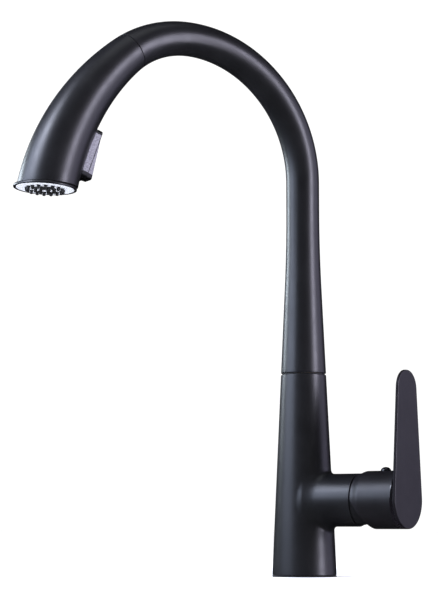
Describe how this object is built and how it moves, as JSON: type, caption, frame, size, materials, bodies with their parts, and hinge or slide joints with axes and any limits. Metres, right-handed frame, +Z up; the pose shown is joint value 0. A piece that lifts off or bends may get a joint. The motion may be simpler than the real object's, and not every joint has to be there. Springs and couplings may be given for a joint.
{
  "type": "pull-down kitchen faucet",
  "caption": "Single-lever kitchen faucet with a tapered column, a high arched swivel spout and a docked pull-down spray head with a rocker button.",
  "frame": {"origin": "centre of the base on the deck surface", "axes": "+Z up the column, +X along the lever hub, -Y towards the user; the spout is stored swivelled 30 degrees from -Y towards -X"},
  "size_m": [0.2333, 0.2528, 0.4966],
  "materials": {
    "satin_black": "satin",
    "gloss_black": "gloss",
    "black_plastic": "moulded",
    "satin_grey": "satin metallic",
    "white_plastic": "moulded",
    "face_silver": "satin",
    "rubber": "moulded",
    "brass": "machined",
    "steel": "satin",
    "braid": "braided nylon"
  },
  "bodies": {
    "base": {"base_gasket": "rubber", "body_casting": "satin_black", "mounting_shank": "brass", "deck_rubber_washer": "rubber", "deck_steel_washer": "steel", "mounting_nut": "brass", "clamp_screw_1": "steel", "clamp_screw_2": "steel", "valve_cartridge": "white_plastic", "cartridge_nut": "brass", "dome_cap": "satin_black"},
    "cam": {"cartridge_cam": "white_plastic", "cam_pin": "steel"},
    "lever": {"lever_stem": "steel", "lever_handle": "satin_black", "set_screw": "steel", "screw_plug": "gloss_black"},
    "spout": {"spout_tube": "satin_black", "spout_spigot": "brass", "spout_o_ring_1": "rubber", "spout_o_ring_2": "rubber", "spout_glide_ring": "black_plastic", "dock_collar": "black_plastic", "dock_magnet": "steel", "pullout_hose": "braid"},
    "union": {"hose_union": "brass"},
    "head": {"head_neck": "black_plastic", "head_shell": "satin_black", "head_core": "black_plastic", "face_bezel": "satin_black", "spray_plate": "face_silver", "nozzle_mat": "rubber", "diverter_disc": "black_plastic", "aerator": "black_plastic", "button_frame": "satin_grey", "rocker_pin": "steel"},
    "rocker": {"rocker_button": "satin_grey"}
  },
  "joints": [
    {"name": "spout_swivel", "type": "hinge", "parent": "base", "child": "spout", "pos_m": [0, 0, 0.163], "axis": [0, 0, 1], "range_deg": [-30, 90]},
    {"name": "lever_temperature", "type": "hinge", "parent": "base", "child": "cam", "pos_m": [0.0504, 0, 0.061], "axis": [1, 0, 0], "range_deg": [-45, 45]},
    {"name": "lever_lift", "type": "hinge", "parent": "cam", "child": "lever", "pos_m": [0.0504, 0, 0.061], "axis": [0, 1, 0], "range_deg": [0, 25]},
    {"name": "head_pull_out", "type": "slide", "parent": "spout", "child": "union", "axis": [-0.4071, -0.7052, -0.5805], "range_m": [0, 0.45]},
    {"name": "head_swivel", "type": "hinge", "parent": "union", "child": "head", "pos_m": [-0.07958, -0.13783, 0.4117], "axis": [-0.4071, -0.7052, -0.5805], "continuous": true},
    {"name": "spray_rocker", "type": "hinge", "parent": "head", "child": "rocker", "pos_m": [-0.09773, -0.16927, 0.32478], "axis": [-0.866, 0.5, 0], "range_deg": [0, 15]}
  ]
}
